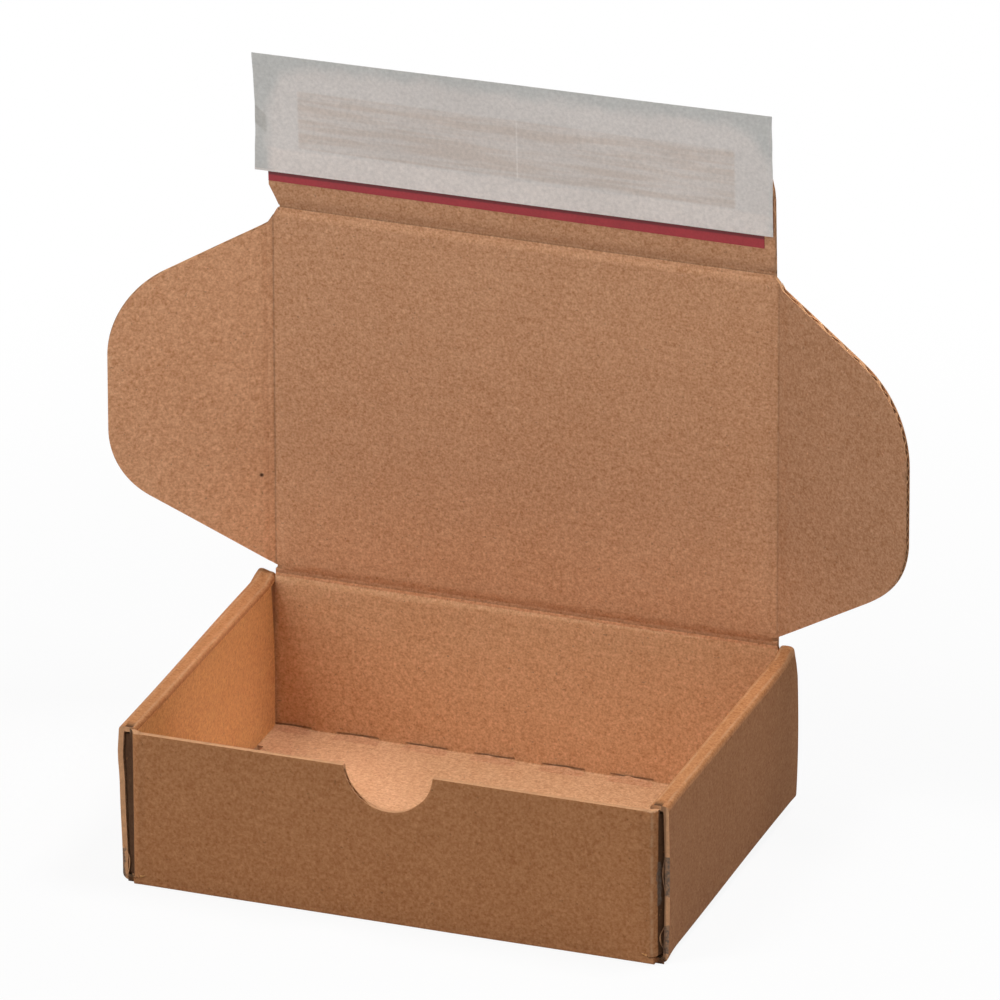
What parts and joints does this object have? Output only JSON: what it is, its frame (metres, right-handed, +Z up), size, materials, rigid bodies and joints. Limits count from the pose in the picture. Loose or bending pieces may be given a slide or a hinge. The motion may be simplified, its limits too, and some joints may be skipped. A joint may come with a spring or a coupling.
{
  "type": "corrugated mailer box",
  "caption": "Open corrugated mailer box with rolled side walls, thumb notch, hinged lid with wings, and a peel-and-seal closure flap.",
  "frame": {"origin": "middle of the tray's underside, under the floor's centre", "axes": "+X to the right along the front wall, +Y from the front wall to the back wall, +Z up"},
  "size_m": [0.217, 0.1014, 0.1904],
  "materials": {
    "board_outside": "matte kraft",
    "board_inside": "matte kraft",
    "adhesive": "satin",
    "release_paper": "satin, translucent",
    "tear_tape": "satin"
  },
  "bodies": {
    "tray": {"tray": "board_outside"},
    "lid": {"lid": "board_inside"},
    "wing_left": {"wing_left": "board_inside"},
    "wing_right": {"wing_right": "board_inside"},
    "closure_flap": {"closure_flap": "board_inside", "adhesive_strip": "adhesive", "release_liner": "release_paper", "tear_strip": "tear_tape"}
  },
  "joints": [
    {"name": "lid_hinge", "type": "hinge", "parent": "tray", "child": "lid", "pos_m": [0, 0.05, 0.045], "axis": [1, 0, 0], "range_deg": [-90, 90]},
    {"name": "wing_left_hinge", "type": "hinge", "parent": "lid", "child": "wing_left", "pos_m": [-0.0686, 0.0507, 0.045], "axis": [0, 0, 1], "range_deg": [-22, 68]},
    {"name": "wing_right_hinge", "type": "hinge", "parent": "lid", "child": "wing_right", "pos_m": [0.0686, 0.0507, 0.045], "axis": [0, 0, -1], "range_deg": [-22, 68]},
    {"name": "closure_flap_hinge", "type": "hinge", "parent": "lid", "child": "closure_flap", "pos_m": [0, 0.05, 0.147], "axis": [1, 0, 0], "range_deg": [-3, 87]}
  ]
}
